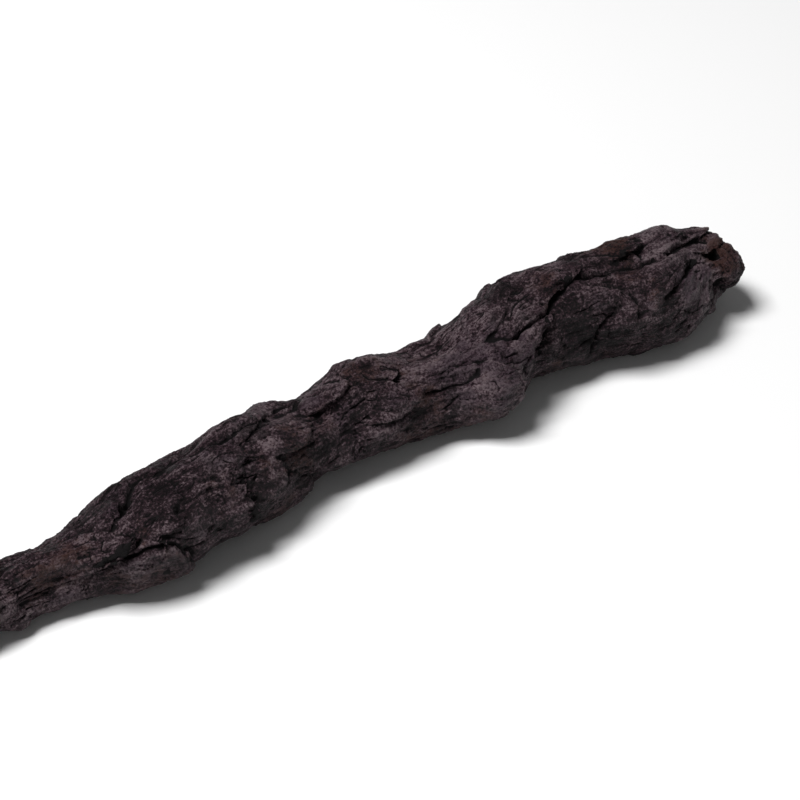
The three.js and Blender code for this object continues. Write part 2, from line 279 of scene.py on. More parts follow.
# The skin's tone, from 0 to 1 over its stops: its middle, how much painted light a ridge may add to it, from
# where and by how much bright tones are eased, how it is scaled, and the places of its colours.
TONE_MIDDLE = 0.55
RIDGE_LIGHT = 0.08
BRIGHT_TONE = 0.7
BRIGHT_EASE = 0.32
TONE_SCALE = 0.85
TONE_STOPS = (0.0, 0.187, 0.459, 0.655, 1.0)

# How far out the cut face's ring of strands lies.
RING_RADIUS = 2.9

# What the skin's points tell the skin's material.
SKIN_MARKS = ("hollow_near", "hollow_wide", "hollow_broad", "to_margin", "pale", "warm", "violet",
              "furrow", "rim")

# The scale leaves, as they leave the flesh. Those with little lift lie pressed into it.
TIP_HEIGHT = 1.5
ROOT_DEPTH = 1.6
MARGIN_DROP = 0.52
CUT_MARGIN = 3.0
FLESH_INSET = TIP_HEIGHT * 0.8

# The outline of a scale leaf: where its shoulder ends, how wide its root is, half its width between its
# ragged margins, how fast it tapers, and how ragged, nicked and bowed its end is.
SHOULDER_END = 0.45
ROOT_WIDTH = 0.72
HALF_WIDTH = 0.58
TAPER = 0.55
RAGGEDNESS = 0.2
NICK_LENGTH = 1.3
END_BOW = 0.3

# The relief of a scale leaf: how it rises and is lifted to its tip, drops at its end, curls at its
# margins and tilts to one side, and what is left of its thickness at a margin.
RISE = 0.8
TIP_LIFT = 0.6
END_DROP = 0.8
RIM_CURL = 1.1
TILT = 0.3
TILT_SPREAD = 0.9
THIN_MARGIN = 0.45

# How far scale leaves stay from the ground, on either face, and from the stem's ends.
SURFACE_GROUND = 0.02
UNDERSIDE_GROUND = 0.06
ENDS_CLEAR = 0.4

# The flesh is far from any leaf's margin, the bud a little way, and the flesh has a grain of its own.
FLESH_MARGIN = 4.0
BUD_MARGIN = 0.5
FLESH_GRAIN = -40.0

# The large scale leaves of the upper side:
# (station of the tip, angle of the tip, length, width, turn in degrees, lift, bluntness).
LARGE_SCALES = [
    (31, 46, 31, 9.5, 8, 0.8, 0.5),
    (39.4, 100, 20, 11.5, 8, 1.25, 0.7),
    (71.5, -34, 31, 10, 0, 0.1, 0.4),
    (54.5, 24, 23, 9, 12, 0.4, 0.5),
    (54, 84, 27, 12.5, 4, 0.3, 0.8),
    (69, 30, 18, 8, 14, 0.1, 0.5),
    (61, 78, 14, 8, 38, -0.3, 0.7),
    (79.5, 6, 14, 8, 34, 0.5, 0.6),
    (90, 4, 15, 10, 14, 0.0, 1.0),
    (89.5, 62, 17, 9, 28, 0.4, 0.6),
    (109.8, 84, 20, 12.5, 6, 1.3, 0.8),
    (132.5, -6, 37, 13, -2, 0.4, 0.3),
    (121, 36, 19, 10, -4, 0.3, 0.4),
    (137, 60, 21, 13, 2, 0.1, 1.0),
    (147, -16, 21, 9, 8, 0.8, 0.5),
    (163.5, -20, 25, 9, -2, 1.0, 0.4),
    (156, 40, 18, 10, -34, 0.8, 0.5),
    (154.5, 98, 19, 11, -8, 0.4, 0.8),
    (164.5, 8, 13, 8, 12, 0.4, 0.7),
    (159, 124, 15, 9, -10, 0.1, 0.8),
    (165.5, -75, 17, 9, 6, 0.4, 0.7),
    (165.5, 188, 16, 9, 0, 0.3, 0.8),
    (53.5, 42, 18, 10, 4, 0.0, 0.8),
    (32, -14, 22, 11, 0, 0.0, 0.7),
    (42, 72, 18, 9, 0, -0.6, 0.8),
    (134.5, 50, 13, 8, 0, 0.2, 0.9),
]
LEAF_FIELDS = ("tip_station", "tip_angle", "leaf_length", "leaf_width", "leaf_turn", "leaf_lift",
               "leaf_bluntness", "leaf_seed")

# The place of the width in a leaf's row.
WIDTH_FIELD = 3

# The other scale leaves stand on a spiral, where no large one is in the way. A leaf there has this
# length, width, turn, lift and bluntness, and strays this far in station, angle and each of them.
SPIRAL_START = 13
SPIRAL_STEP = 4.2
SPIRAL_END = 165
SPIRAL_TURN = 137.5
SPIRAL_LEAF = (22, 10.5, 0, -0.25, 0.7)
SPIRAL_SPREADS = (1.2, 9, 4, 1.6, 12, 0.2, 0.3)
SPIRAL_SEED = 23
CLEAR_ALONG = 9
CLEAR_ACROSS = 6.5
FULL_GIRTH = 9

# Lower scale leaves fill the gaps under them, on a spiral that turns the other way.
UNDER_START = 9
UNDER_STEP = 3.1
UNDER_END = 163
UNDER_LEAF = (19, 14, 0, -1.2, 0.8)
UNDER_SPREADS = (1.5, 14, 4, 2, 14, 0.3, 0.4)
UNDER_SEED = 5

# The bud at the very tip: its place, how finely it is made, and how many lumps it has on a radius, how
# high they are as a share of it, and their noise's fall-off, lacunarity and octaves.
BUD_RADIUS = 4.3
BUD_STATION = 163
BUD_ANGLE = 78
BUD_REACH = 3.7
BUD_FINENESS = 5
BUD_LUMPS = 2.1
BUD_LUMP_HEIGHT = 0.14
BUD_NOISE = (0.8, 2.0, 4)

# What has grown before the skin is fused from it.
GROWN_FORMS = ("flesh", "scales", "bud")

# The closed stretches that the finished skin is parted into: (name, from station, to station).
STRETCHES = [
    ("base_stretch", None, 50),
    ("waist_stretch", 50, 92),
    ("upper_stretch", 92, 131),
    ("crown_stretch", 131, None),
]

# The camera, and where it looks.
VIEW_AZIMUTH = -35.0
VIEW_ELEVATION = 40.0
VIEW_DISTANCE = 0.4
VIEW_TARGET = (6.5 * MM, 0.48 * MM, 8.0 * MM)
LENS = 100
SENSOR_WIDTH = 36
NEAREST_VIEW = 0.01

# The studio: the floor's half width and its roughness, the even light from all round, and the square
# soft lights, each as (name, place, size in metres, power in watts).
FLOOR_HALF = 3.0
FLOOR_ROUGHNESS = 0.9
ROOM_LIGHT = 0.1
LIGHTS = (
    ("key", (-0.3, 0.15, 0.85), 0.36, 10.8),
    ("fill", (-0.35, -0.6, 0.5), 0.5, 0.25),
)


class Wire:
    """An output socket that takes part in sums: each sum adds its Math node."""

    def __init__(self, graph, socket):
        self.graph = graph
        self.socket = socket

    def math(self, operation, *others):
        return self.graph.math(operation, self, *others)

    def __add__(self, other):
        return self.math("ADD", other)

    __radd__ = __add__

    def __sub__(self, other):
        return self.math("SUBTRACT", other)

    def __rsub__(self, other):
        return self.graph.math("SUBTRACT", other, self)

    def __mul__(self, other):
        return self.math("MULTIPLY", other)

    __rmul__ = __mul__

    def __truediv__(self, other):
        return self.math("DIVIDE", other)

    def __pow__(self, other):
        return self.math("POWER", other)

    def sin(self):
        return self.math("SINE")

    def cos(self):
        return self.math("COSINE")

    def abs(self):
        return self.math("ABSOLUTE")

    def least(self, other):
        return self.math("MINIMUM", other)

    def most(self, other):
        return self.math("MAXIMUM", other)

    def fade(self, low, high):
        """0 below low, 1 above high, and a smooth step between them."""
        settings = {"interpolation_type": "SMOOTHSTEP"}
        sockets = {"Value": self, "From Min": low, "From Max": high}
        return self.graph.add("ShaderNodeMapRange", settings, sockets)["Result"]


class Outputs:
    """The outputs of a new node, by identifier or name."""

    def __init__(self, graph, node):
        self.graph = graph
        self.node = node

    def __getitem__(self, key):
        return Wire(self.graph, find_socket(self.node.outputs, key))


class Graph:
    """A node tree being built, for geometry or for a material."""

    def __init__(self, tree):
        self.tree = tree
        self.entry = None

    def add(self, kind, settings=None, sockets=None):
        """A new node: its settings first, then the values or links of its sockets."""
        node = self.tree.nodes.new(kind)
        for name, value in (settings or {}).items():
            if name == "stops":
                set_stops(node.color_ramp, value)
            elif name == "curve":
                set_curve(node.mapping, value)
            else:
                setattr(node, name, value)
        for key, value in (sockets or {}).items():
            self.feed(node.inputs[key] if isinstance(key, int) else find_socket(node.inputs, key), value)
        return Outputs(self, node)

    def feed(self, socket, value):
        if isinstance(value, (list, tuple)) and value and isinstance(value[0], Wire):
            for wire in value:
                self.tree.links.new(wire.socket, socket)
        elif isinstance(value, Wire):
            self.tree.links.new(value.socket, socket)
        else:
            socket.default_value = value

    def math(self, operation, *values):
        node = self.add("ShaderNodeMath", {"operation": operation}).node
        for index, value in enumerate(values):
            self.feed(node.inputs[index], value)
        return Wire(self, node.outputs[0])

    def point(self, x, y, z):
        return self.add("ShaderNodeCombineXYZ", sockets={"X": x, "Y": y, "Z": z})["Vector"]

    def parts(self, vector):
        node = self.add("ShaderNodeSeparateXYZ", sockets={"Vector": vector})
        return node["X"], node["Y"], node["Z"]

    def noise(self, where, size, detail=2.0, roughness=0.5):
        """Smooth noise from about -1 to 1, whose lumps are about size apart."""
        sockets = {"Vector": where, "Scale": 1 / size, "Detail": detail, "Roughness": roughness}
        return self.add("ShaderNodeTexNoise", sockets=sockets)["Fac"] * 2 - 1

    def creases(self, where, size, width):
        """1 along winding lines about size apart, and 0 beside them."""
        return (1 - self.noise(where, size, 2.0).abs() / width).most(0)

    def scaled(self, vector, factor):
        return self.add("ShaderNodeVectorMath", {"operation": "SCALE"}, {
            "Vector": vector, "Scale": factor})["Vector"]

    def value(self, name, kind="FLOAT"):
        """What a geometry's points hold under a name."""
        return self.add("GeometryNodeInputNamedAttribute", {"data_type": kind}, {"Name": name})["Attribute"]

    def tint(self, base, share, colour):
        """A colour taken by a share of the way to another."""
        sockets = {"Factor_Float": share, "A_Color": base, "B_Color": (*colour, 1)}
        return self.add("ShaderNodeMix", {"data_type": "RGBA"}, sockets)["Result_Color"]

    def vector(self, operation, first, second):
        """Vector Math on two vectors."""
        return self.add("ShaderNodeVectorMath", {"operation": operation}, {0: first, 1: second})

    def form(self, piece):
        """The geometry of another object."""
        settings = {"transform_space": "ORIGINAL"}
        return self.add("GeometryNodeObjectInfo", settings, {"Object": piece})["Geometry"]

    def moved(self, geometry, **target):
        """A geometry with its points at a new Position, or moved by an Offset."""
        return self.add("GeometryNodeSetPosition", sockets={"Geometry": geometry, **target})["Geometry"]

    def realized(self, geometry):
        return self.add("GeometryNodeRealizeInstances", sockets={"Geometry": geometry})["Geometry"]

    def input(self, name, kind):
        """A named input of the whole tree."""
        self.tree.interface.new_socket(name, in_out="INPUT", socket_type=kind)
        if self.entry is None:
            self.entry = self.tree.nodes.new("NodeGroupInput")
        return Wire(self, self.entry.outputs[name])

    def output(self, geometry):
        self.tree.interface.new_socket("Geometry", in_out="OUTPUT", socket_type="NodeSocketGeometry")
        self.tree.links.new(geometry.socket, self.tree.nodes.new("NodeGroupOutput").inputs[0])


def find_socket(sockets, key):
    """A socket by its identifier, or else by its name."""
    for socket in sockets:
        if socket.identifier == key:
            return socket
    return sockets[key]


def set_stops(ramp, stops):
    while len(ramp.elements) > 1:
        ramp.elements.remove(ramp.elements[-1])
    ramp.elements[0].position = stops[0][0]
    ramp.elements[0].color = (*stops[0][1], 1)
    for position, colour in stops[1:]:
        ramp.elements.new(position).color = (*colour, 1)


def set_curve(mapping, points):
    mapping.use_clip = False
    curve = mapping.curves[0]
    curve.points[0].location = points[0]
    curve.points[1].location = points[-1]
    for point in points[1:-1]:
        curve.points.new(*point)
    mapping.update()


def profile(graph, rows, column, station):
    """A column of a driving list at a station, on a smooth curve through its rows."""
    values = [row[column] for row in rows]
    low = min(values)
    span = max(values) - low
    curve = [(row[0] / LENGTH, (row[column] - low) / span) for row in rows]
    share = graph.add("ShaderNodeFloatCurve", {"curve": curve}, {"Value": station / LENGTH})["Value"]
    return share * span + low


def place(graph, station, angle, radius, lowest):
    """The point, in metres, at a distance from the axis in the section at a station."""
    across = profile(graph, AXIS, SIDEWAYS, station) + WIDTH_MIDDLE - radius * angle.sin()
    up = profile(graph, AXIS, HEIGHT, station) - PRESSED_DEPTH + radius * angle.cos() * FLATNESS
    up = up - (up - EASED_HEIGHT).most(0) * (1 - EASED_SHARE)
    across = across - (across.abs() - EASED_SIDE).most(0) * across.math("SIGN") * (1 - EASED_SHARE)
    return graph.point((station - LENGTH / 2) * MM, across * MM, up.most(lowest) * MM)


def station_and_angle(graph, position):
    """Where on the stem a point of the skin lies: the way back from place."""
    x, y, z = graph.parts(graph.scaled(position, 1 / MM))
    station = x + LENGTH / 2
    beside = profile(graph, AXIS, SIDEWAYS, station) + WIDTH_MIDDLE - y
    above = (z + PRESSED_DEPTH - profile(graph, AXIS, HEIGHT, station)) / FLATNESS
    return station, beside.math("ARCTAN2", above)


def unroll(graph, station, angle, stretch, shift=0.0):
    """Where a place on the stem reads its noise: a smaller stretch draws the noise out along it."""
    return graph.point(station * stretch + shift, angle.cos() * MIDDLE_RADIUS, angle.sin() * MIDDLE_RADIUS)


def swell(graph, station, angle):
    """The low swells of the body."""
    total = 0.0
    for times, wave, height, start in SWELLS:
        phase = angle * times + station * (math.tau / wave) + math.radians(start)
        total = phase.sin() * height + total
    return total


def at_spot(graph, station, angle, spot_station, spot_angle, radius):
    """1 in the middle of a round spot on the stem, fading to 0 outside it."""
    across = ((angle - math.radians(spot_angle)) * 0.5).sin() * (2 * MIDDLE_RADIUS)
    away = ((station - spot_station) ** 2 + across ** 2) / radius ** 2
    return (away * -1).math("EXPONENT")


def at_spots(graph, station, angle, spots):
    """The sum of a list of round spots, each fading from its own height or strength."""
    total = 0.0
    for spot_station, spot_angle, radius, strength in spots:
        total = at_spot(graph, station, angle, spot_station, spot_angle, radius) * strength + total
    return total


def lumps(graph, station, angle):
    """The lumps of shrunken flesh, which lift the scales on them too."""
    return sum(graph.noise(unroll(graph, station, angle, stretch, shift), size) * height
               for stretch, shift, size, height in LUMPS) + at_spots(graph, station, angle, HILLS)


def warped(graph, station, angle, girth):
    """A place pushed about a little, so that no outline stays regular."""
    push = graph.noise(unroll(graph, station, angle, 1.0, shift=90.0), WARP_SIZE, detail=3.0)
    twist = graph.noise(unroll(graph, station, angle, 1.0, shift=130.0), WARP_SIZE, detail=3.0)
    return station + push * WARP_ALONG, angle + twist * WARP_ACROSS / girth


def closing(station):
    """How far the crown of scales has drawn in towards the end of the tip."""
    past = ((station - (LENGTH - TIP_STRETCH)) / CLOSING_STRETCH).most(0).least(CLOSING_MOST)
    return (1 - past * past) ** 0.5


def new_tree(name):
    return Graph(bpy.data.node_groups.new(name, "GeometryNodeTree"))


def keep(graph, geometry, name, value, kind="FLOAT"):
    """Store a value on every point under a name."""
    return graph.add("GeometryNodeStoreNamedAttribute", {"data_type": kind}, {
        "Geometry": geometry, "Name": name, "Value": value})["Geometry"]


def fleshy_tree():
    """The body of the stem as rings of points, with its swells, lumps, folds and pits."""
    graph = new_tree("Stem flesh")
    rings = graph.input("Rings", "NodeSocketInt")
    sides = graph.input("Sides", "NodeSocketInt")
    fold_height = graph.input("Fold height", "NodeSocketFloat")
    sheet = graph.add("GeometryNodeMeshGrid", sockets={
        "Size X": 1.0, "Size Y": 1.0, "Vertices X": rings, "Vertices Y": sides})["Mesh"]
    along, around, _ = graph.parts(graph.add("GeometryNodeInputPosition")["Position"])
    along = along + 0.5
    angle = (around + 0.5) * math.tau

    body = ((along - CAP_SHARE) / (1 - CAP_SHARE - TIP_SHARE)).most(0).least(1)
    past = ((along - (1 - TIP_SHARE)) / TIP_SHARE).most(0) * (math.pi / 2)
    station = body * (LENGTH - TIP_STRETCH) + past.sin() * TIP_STRETCH
    cap = (along / CAP_SHARE).least(1)

    fold_spot = unroll(graph, station, angle, 0.3, shift=11.0)
    folds = graph.noise(fold_spot, 2.6, detail=3.0, roughness=0.55).abs()
    relief = (0.25 - folds) * fold_height * FLESH_FOLD_GAIN
    relief = relief - at_spots(graph, station, angle, PITS)
    radius = profile(graph, GIRTH, RADIUS, station) - FLESH_INSET
    radius = radius + swell(graph, station, angle) + lumps(graph, station, angle) + relief

    cut_spot = graph.point(0.0, angle.cos() * cap * CUT_RADIUS, angle.sin() * cap * CUT_RADIUS)
    cut_height = graph.noise(cut_spot, CUT_LUMP, detail=3.0) * CUT_ROUGHNESS + CUT_ROUGHNESS
    in_cut_face = 1 - body.fade(0, 0.002)
    base_end = station + (1 - cap.fade(CUT_EDGE, 1.0)) * cut_height * in_cut_face
    target = place(graph, base_end, angle, radius * (past.cos() * cap), lowest=0.1)

    grain = graph.point(angle * MIDDLE_RADIUS, station, FLESH_GRAIN)
    grained = keep(graph, sheet, "grain", grain, "FLOAT_VECTOR")
    moved = graph.moved(keep(graph, grained, "to_margin", FLESH_MARGIN), Position=target)
    closed = graph.add("GeometryNodeMergeByDistance", sockets={
        "Geometry": moved, "Distance": MERGE_DISTANCE * MM})["Geometry"]
    graph.output(graph.realized(closed))
    return graph.tree


def leaf_template(rows, columns):
    """A flat closed pillow: along from 0 to 1, across from -1 to 1, and its face as 1, 0 or -1."""
    work = bmesh.new()
    rim = {}
    for face in (1, -1):
        grid = []
        for row in range(rows + 1):
            line = []
            for column in range(columns + 1):
                even = 2 * column / columns - 1
                crowded = -math.cos(math.pi * column / columns)
                spot = (row / rows, (even + crowded) / 2)
                if row in (0, rows) or column in (0, columns):
                    if (row, column) not in rim:
                        rim[row, column] = work.verts.new((*spot, 0))
                    line.append(rim[row, column])
                else:
                    line.append(work.verts.new((*spot, face)))
            grid.append(line)
        for low, high in zip(grid, grid[1:]):
            for column in range(columns):
                corners = [low[column], high[column], high[column + 1], low[column + 1]]
                work.faces.new(corners if face < 0 else corners[::-1])
    mesh = bpy.data.meshes.new("Leaf template")
    work.to_mesh(mesh)
    work.free()
    return bpy.data.objects.new("Leaf template", mesh)


def leafy_tree():
    """A closed blade on every point, bent round the stem, ragged and ribbed."""
    graph = new_tree("Scale leaves")
    plan = graph.input("Plan", "NodeSocketGeometry")
    template = graph.input("Template", "NodeSocketObject")
    thickness = graph.input("Thickness", "NodeSocketFloat")
    rib_height = graph.input("Rib height", "NodeSocketFloat")
    flat = keep(graph, graph.form(template), "leaf_place",
                graph.add("GeometryNodeInputPosition")["Position"], "FLOAT_VECTOR")
    copies = graph.add("GeometryNodeInstanceOnPoints", sockets={"Points": plan, "Instance": flat})
    whole = graph.realized(copies["Instances"])

    share, side, face = graph.parts(graph.value("leaf_place", "FLOAT_VECTOR"))
    tip, tip_angle, length, width, turn, lift, bluntness, seed = [graph.value(n) for n in LEAF_FIELDS]
    own = seed * 7.31

    shoulder = ((share / SHOULDER_END).least(1) * (math.pi / 2)).sin() * (1 - ROOT_WIDTH) + ROOT_WIDTH
    taper = (1 - share ** (bluntness * 2.5 + 2)).most(0) ** TAPER
    ragged_spot = graph.point(share * 5, side.fade(-0.2, 0.2) * 9, own)
    ragged = graph.noise(ragged_spot, 1.0, detail=3.0, roughness=0.6)
    half = shoulder * taper * width * HALF_WIDTH * (1 + ragged * RAGGEDNESS)
    across = side * half
    nicks = graph.noise(graph.point(side * 2.0, share, own + 3), 1.0) * NICK_LENGTH
    back = length * (share - 1) + (side * side - 1) * share * END_BOW + nicks * share * share
    station = tip + back * turn.cos() - across * turn.sin()
    girth = profile(graph, GIRTH, RADIUS, station)
    angle = tip_angle + (back * turn.sin() + across * turn.cos()) / girth
    station, angle = warped(graph, station, angle, girth)

    rise = share ** RISE * TIP_HEIGHT + lift * share * share * TIP_LIFT
    sink = (1 - share) ** 3 * ROOT_DEPTH
    tilt = graph.noise(graph.point(own, 2.0, 5.0), 1.3) * TILT_SPREAD + TILT
    curl = graph.noise(graph.point(share * 2.4, side * 1.4, own + 9), 1.0)
    rim_curl = side.abs().fade(0.5, 1.0) * curl * RIM_CURL * share
    ribs = graph.noise(graph.point(across * 1.1, length * share * 0.16, own), 1.0)
    pressed = (MARGIN_DROP - lift * 0.5).most(0.1)
    height = rise - sink - (side * side + share ** 5 * END_DROP) * pressed + tilt * side * share
    height = height + rim_curl + ribs * rib_height
    edge = ((1 - side.abs()) * half).least((1 - share) * length * 1.4)
    fullness = 1 - (edge * -4).math("EXPONENT")
    height = height + (face - 1) * 0.5 * thickness * (fullness * (1 - THIN_MARGIN) + THIN_MARGIN)
    ground = UNDERSIDE_GROUND - face.fade(-1, 1) * (UNDERSIDE_GROUND - SURFACE_GROUND)
    radius = girth - FLESH_INSET + height
    radius = radius + swell(graph, station, angle) + lumps(graph, station, angle)
    kept_station = station.least(LENGTH - ENDS_CLEAR).most(ENDS_CLEAR)
    target = place(graph, kept_station, angle, radius * closing(station), ground)
    rimmed = keep(graph, graph.moved(whole, Position=target), "to_margin", edge)
    graph.output(keep(graph, rimmed, "grain", graph.point(across, length * share, own), "FLOAT_VECTOR"))
    return graph.tree


def joined_tree():
    """Everything that has grown, as one mesh of closed forms that run into each other."""
    graph = new_tree("Grown together")
    forms = [graph.form(graph.input(name, "NodeSocketObject")) for name in GROWN_FORMS]
    joined = graph.add("GeometryNodeJoinGeometry", sockets={"Geometry": forms})["Geometry"]
    graph.output(graph.realized(joined))
    return graph.tree


def sampled(graph, source, name, kind):
    """What the nearest place on another mesh holds under a name."""
    return graph.add("GeometryNodeSampleNearestSurface", {"data_type": kind}, {
        "Mesh": source, "Value": graph.value(name, kind)})["Value"]


def off_line(graph, lines, spot):
    """How far a place on the unrolled skin lies from the nearest line, in millimetres."""
    return graph.add("GeometryNodeProximity", {"target_element": "EDGES"}, {
        "Target": graph.form(lines), "Source Position": spot})["Distance"]


def bell(away, half_width):
    """1 where a distance is 0, falling off smoothly with it."""
    return ((away / half_width) ** 2 * -1).math("EXPONENT")


def weathering(graph, spot, rugged, depths):
    """Dents, folds, creases, cracks, crumpling, strands and grit, as one height in millimetres."""
    dent_depth, fold_height, crease_depth, crumple_height = depths
    across, along, own = graph.parts(graph.value("grain", "FLOAT_VECTOR"))
    long_grain = graph.point(across, along * 0.22, own)
    short_grain = graph.point(across, along * 0.5, own + 60)
    strand_grain = graph.point(across, along * 0.14, own + 20)
    dents = graph.noise(spot, 3.8) * dent_depth * DENT_GAIN
    folds = (0.2 - graph.noise(long_grain, 2.8).abs()) * fold_height * FOLD_GAIN
    broken = graph.noise(spot, 7.0, detail=1.0).fade(0.0, 0.25) * rugged
    creases = graph.creases(long_grain, size=4.6, width=0.04) * broken * crease_depth
    cracked = graph.noise(spot, 4.0, detail=1.0).fade(0.05, 0.3)
    cracks = graph.creases(short_grain, size=2.6, width=0.055) * cracked * crease_depth * CRACK_SHARE
    rough = (graph.noise(spot, 8.0).fade(-0.2, 0.25) * 0.9 + 0.5) * rugged
    crumple = graph.noise(spot, 1.3, detail=5.0, roughness=0.75) * crumple_height * CRUMPLE_GAIN * rough
    strands = graph.noise(strand_grain, 0.9, detail=3.0, roughness=0.6) * STRAND_HEIGHT
    grit = graph.noise(spot, 0.8, detail=3.0, roughness=0.7) * GRIT_HEIGHT * rough
    return dents + folds - creases - cracks + crumple + strands + grit


def weathered_tree():
    """The fused skin with its weathering, furrows, rims and holes, and the marks its material reads."""
    graph = new_tree("Weathered skin")
    skin = graph.input("Skin", "NodeSocketGeometry")
    grown = graph.form(graph.input("Grown", "NodeSocketObject"))
    furrow_lines, rim_lines = [
        graph.input(name, "NodeSocketObject") for name in ("Furrow lines", "Rim lines")]
    furrow_depth, *depths = [graph.input(name, "NodeSocketFloat") for name in (
        "Furrow depth", "Dent depth", "Fold height", "Crease depth", "Crumple height")]
    flesh, cut_face = [graph.input(name, "NodeSocketMaterial") for name in ("Flesh", "Cut face")]
    stored = keep(graph, skin, "grain", sampled(graph, grown, "grain", "FLOAT_VECTOR"), "FLOAT_VECTOR")
    stored = keep(graph, stored, "to_margin", sampled(graph, grown, "to_margin", "FLOAT"))

    position = graph.add("GeometryNodeInputPosition")["Position"]
    normal = graph.add("GeometryNodeInputNormal")["Normal"]
    spot = graph.scaled(position, 1 / MM)
    station, angle = station_and_angle(graph, position)
    rugged = 1 - at_spots(graph, station, angle, SLEEK_SPOTS).least(SLEEK_MOST)

    stray_along = graph.noise(spot, 3.0) * LINE_STRAY_ALONG
    stray_across = graph.noise(spot, 2.2) * LINE_STRAY_ACROSS
    flat_spot = graph.point(station + stray_along, angle * MIDDLE_RADIUS + stray_across, 0.0)
    uneven = graph.noise(spot, 5.0, detail=1.0) * 0.6 + 1.0
    to_furrow = off_line(graph, furrow_lines, flat_spot)
    furrow = bell(to_furrow, LINE_HALF_WIDTH)
    furrows = (furrow + bell(to_furrow, FURROW_SHOULDER) * SHOULDER_DEPTH) * uneven * furrow_depth
    rim = bell(off_line(graph, rim_lines, flat_spot), LINE_HALF_WIDTH) * uneven
    relief = weathering(graph, spot, rugged, depths) - furrows + rim * RIM_HEIGHT
    # Painted shade: the underside between two angles from the top is marked darker, and the pale mark
    # carries it along with the paler and darker places.
    underside_shade = angle.abs().fade(UNDERSIDE_SHADE_FROM, UNDERSIDE_SHADE_TO)
    for name, mark in (
        ("relief", relief - at_spots(graph, station, angle, HOLES)),
        ("pale", at_spots(graph, station, angle, TONE_LIGHT_AND_SHADE_SPOTS) - underside_shade * UNDERSIDE_SHADE),
        ("furrow", furrow * uneven),
        ("rim", rim),
        ("violet", at_spots(graph, station, angle, VIOLET_SPOTS)),
        ("warm", at_spots(graph, station, angle, WARM_SPOTS)),
    ):
        stored = keep(graph, stored, name, mark)

    raised = graph.moved(stored, Offset=graph.scaled(normal, graph.value("relief") * MM))
    x, y, z = graph.parts(position)
    settled = graph.moved(raised, Position=graph.point(x, y, z.most(0.0)))
    for name, rounds in HOLLOWS:
        smoothed = graph.add("GeometryNodeBlurAttribute", {"data_type": "FLOAT_VECTOR"}, {
            "Value": position, "Iterations": rounds})["Value"]
        outwards = graph.vector("SUBTRACT", smoothed, position)["Vector"]
        depth = graph.vector("DOT_PRODUCT", outwards, normal)["Value"]
        settled = keep(graph, settled, name, depth / MM)
    settled = keep(graph, settled, "facing", normal, "FLOAT_VECTOR")
    coated = graph.add("GeometryNodeSetMaterial", sockets={"Geometry": settled, "Material": flesh})
    at_base = graph.math("LESS_THAN", x, (CUT_DEPTH - LENGTH / 2) * MM)
    looks_out = graph.math("LESS_THAN", graph.parts(normal)[0], CUT_FACING)
    graph.output(graph.add("GeometryNodeSetMaterial", sockets={
        "Geometry": coated["Geometry"], "Selection": at_base * looks_out, "Material": cut_face})["Geometry"])
    return graph.tree


class SpiralDraw:
    """Repeatable random numbers from 0 to 1, the same row as the one that placed the solid scales."""

    def __init__(self, seed):
        self.state = seed

    def next(self):
        mask = 2 ** 32 - 1
        self.state = (self.state + 0x6D2B79F5) & mask
        bits = ((self.state ^ (self.state >> 15)) * (1 | self.state)) & mask
        bits = ((bits + (((bits ^ (bits >> 7)) * (61 | bits)) & mask)) & mask) ^ bits
        return ((bits ^ (bits >> 14)) & mask) / (mask + 1)

    def around(self, middle, spread):
        return middle + (self.next() * 2 - 1) * spread

    def leaf(self, station, angle, middles, spreads):
        """A scale leaf's fields, each strayed from its middle."""
        return [self.around(middle, spread) for middle, spread in zip((station, angle, *middles), spreads)]


def girth_at(station):
    """The girth at a station, on straight lines through its rows."""
    for low, high in zip(GIRTH, GIRTH[1:]):
        if station <= high[0]:
            return low[1] + (high[1] - low[1]) * (station - low[0]) / (high[0] - low[0])
    return GIRTH[-1][1]


def plan_leaves():
    """Every scale leaf as a row of its fields, angles in radians."""
    leaves = list(LARGE_SCALES)
    draw = SpiralDraw(UNDER_SEED)
    station, angle = UNDER_START, 0
    while station < UNDER_END:
        angle -= SPIRAL_TURN
        leaf = draw.leaf(station, angle, UNDER_LEAF, UNDER_SPREADS)
        leaf[WIDTH_FIELD] *= min(girth_at(station) / FULL_GIRTH, 1)
        leaves.append(leaf)
        station += UNDER_STEP
    draw = SpiralDraw(SPIRAL_SEED)
    for step in range(math.ceil((SPIRAL_END - SPIRAL_START) / SPIRAL_STEP)):
        middle = SPIRAL_START + step * SPIRAL_STEP
        leaf = draw.leaf(middle, SPIRAL_TURN * (step + 1), SPIRAL_LEAF, SPIRAL_SPREADS)
        station, angle = leaf[:2]
        radius = girth_at(station)
        leaf[WIDTH_FIELD] *= min(radius / FULL_GIRTH, 1)
        crowded = False
        for other_station, other_angle, *_ in LARGE_SCALES:
            apart = math.radians((angle - other_angle + 180) % 360 - 180) * radius
            if math.hypot((station - other_station) / CLEAR_ALONG, apart / CLEAR_ACROSS) < 1:
                crowded = True
        if not crowded:
            leaves.append(leaf)
    plan = []
    for index, (station, angle, length, width, turn, lift, bluntness) in enumerate(leaves):
        swing = math.radians(turn)
        reach = min(length, (station - CUT_MARGIN) / math.cos(swing))
        plan.append((station, math.radians(angle), reach, width, swing, lift, bluntness, index))
    return plan


